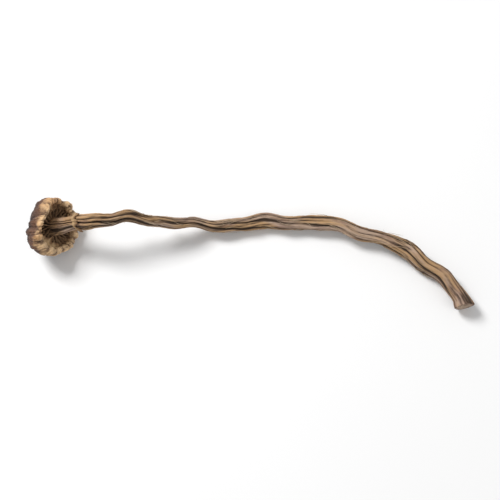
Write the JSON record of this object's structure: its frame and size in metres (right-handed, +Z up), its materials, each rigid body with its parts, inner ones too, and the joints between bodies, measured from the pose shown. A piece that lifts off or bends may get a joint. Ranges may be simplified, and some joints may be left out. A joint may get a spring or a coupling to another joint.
{
  "type": "dried mushroom",
  "caption": "Dried tea tree mushroom lying on its side: a small furrowed cap with a rolled margin, gills and a torn veil, on a long pleated, twisted stem with a shrunken ring and a cut base.",
  "frame": {"origin": "on the surface that the mushroom lies on, under the middle of its bounding box", "axes": "+X along the stem from the cap to the cut base, +Y across, towards the side that the stem bows to, +Z up from the surface"},
  "size_m": [0.1181, 0.0298, 0.014],
  "materials": {
    "stem_flesh": "matte",
    "cap_skin": "satin",
    "gill_flesh": "matte",
    "veil_skin": "matte"
  },
  "bodies": {
    "root": {"mushroom": "stem_flesh"}
  },
  "joints": []
}
